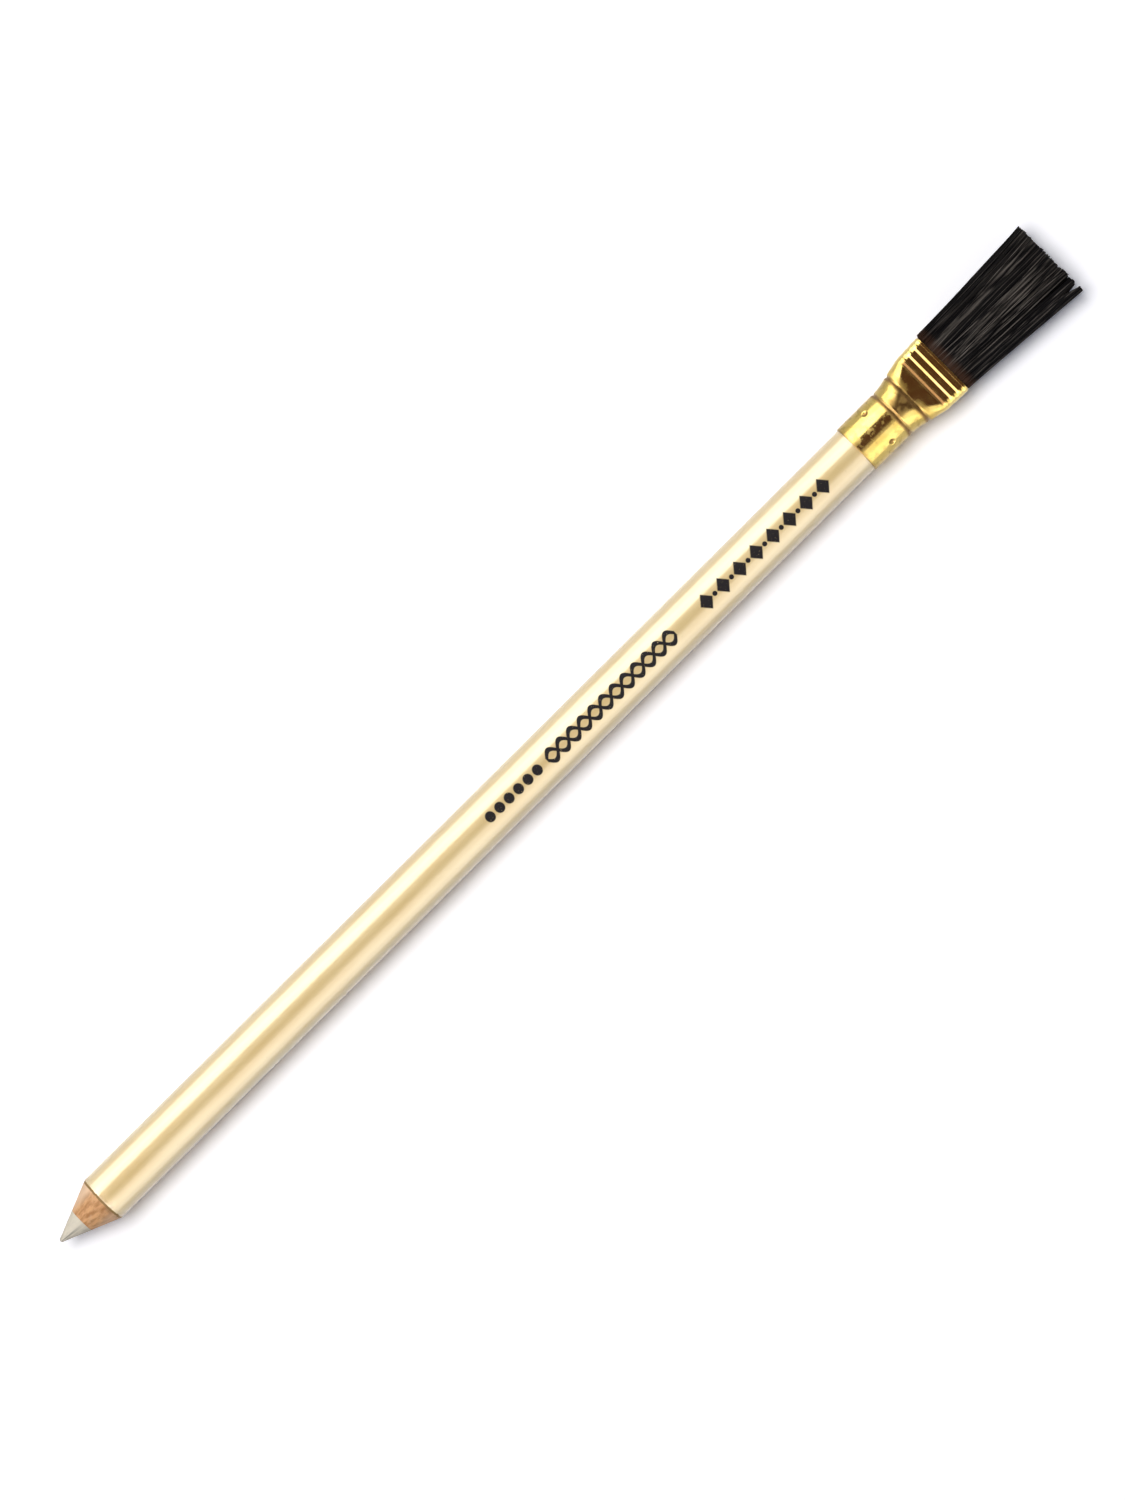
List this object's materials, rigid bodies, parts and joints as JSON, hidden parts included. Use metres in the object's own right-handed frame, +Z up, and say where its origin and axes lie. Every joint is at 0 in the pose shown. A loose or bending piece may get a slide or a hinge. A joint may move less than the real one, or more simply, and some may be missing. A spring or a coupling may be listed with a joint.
{
  "type": "eraser pencil with brush",
  "caption": "Round wood-cased eraser pencil, sharpened at one end, with a flat bristle brush in a pressed metal ferrule at the other for sweeping away crumbs.",
  "frame": {"origin": "on the surface that the pencil lies on, under the middle of its length and width", "axes": "+X along the pencil from the eraser tip to the brush, +Y across the flat of the brush, +Z up"},
  "size_m": [0.1976, 0.0128, 0.0079],
  "materials": {
    "eraser": "matte off-white vinyl",
    "casing_wood": "bare sharpened cedar",
    "lacquer": "glossy cream lacquer with a pearl sheen",
    "ferrule_metal": "bright gold-coloured pressed tube",
    "resin": "set cement, hidden",
    "bristle": "black bristle, slight sheen"
  },
  "bodies": {
    "root": {"eraser_core": "eraser", "upper_slat": "casing_wood", "lower_slat": "casing_wood", "lacquer_coat": "lacquer", "ferrule": "ferrule_metal", "setting_resin": "resin", "bristles": "bristle"}
  },
  "joints": []
}
